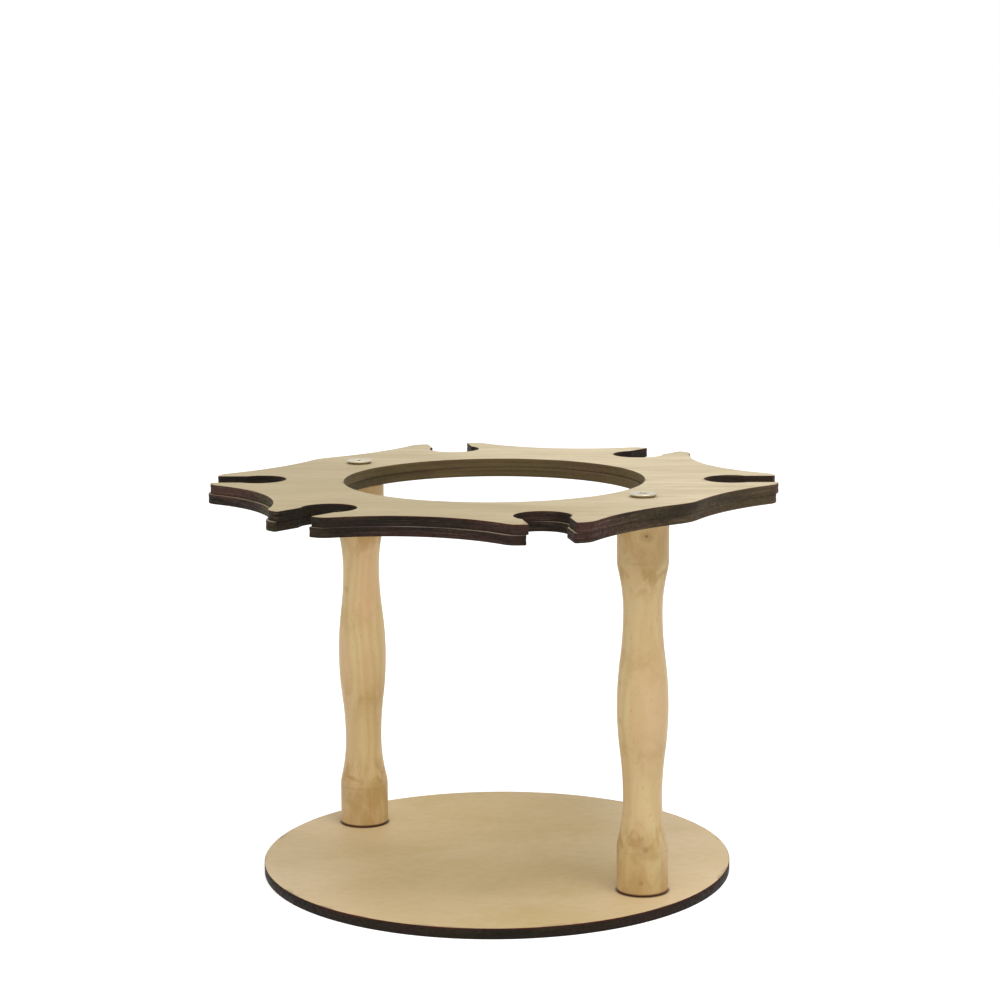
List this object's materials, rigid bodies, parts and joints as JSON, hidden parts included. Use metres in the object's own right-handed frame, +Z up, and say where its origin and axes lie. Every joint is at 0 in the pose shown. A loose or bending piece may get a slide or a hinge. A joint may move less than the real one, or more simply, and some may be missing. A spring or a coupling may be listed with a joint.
{
  "type": "wine bottle and glass holder",
  "caption": "Wooden table caddy: a round base and turned posts carry a flat ring with a centre hole for a bottle and open slots at its edge that glasses hang in.",
  "frame": {"origin": "centre of the round base's underside, on the surface that the holder stands on", "axes": "+Z up; the two posts stand on the X axis; the ring's two single slots open along +Y and -Y"},
  "size_m": [0.1866, 0.2143, 0.1525],
  "materials": {
    "base_board": "bare sanded fibreboard with a laser-burnt edge",
    "ring_plywood": "bare sanded light plywood with laser-burnt edges",
    "post_beech": "turned and sanded beech, bare",
    "screw_zinc": "bright zinc plate"
  },
  "bodies": {
    "root": {"base_disc": "base_board", "right_post": "post_beech", "left_post": "post_beech", "lower_ring_sheet": "ring_plywood", "upper_ring_sheet": "ring_plywood", "right_top_screw": "screw_zinc", "left_top_screw": "screw_zinc", "right_base_screw": "screw_zinc", "left_base_screw": "screw_zinc"}
  },
  "joints": []
}
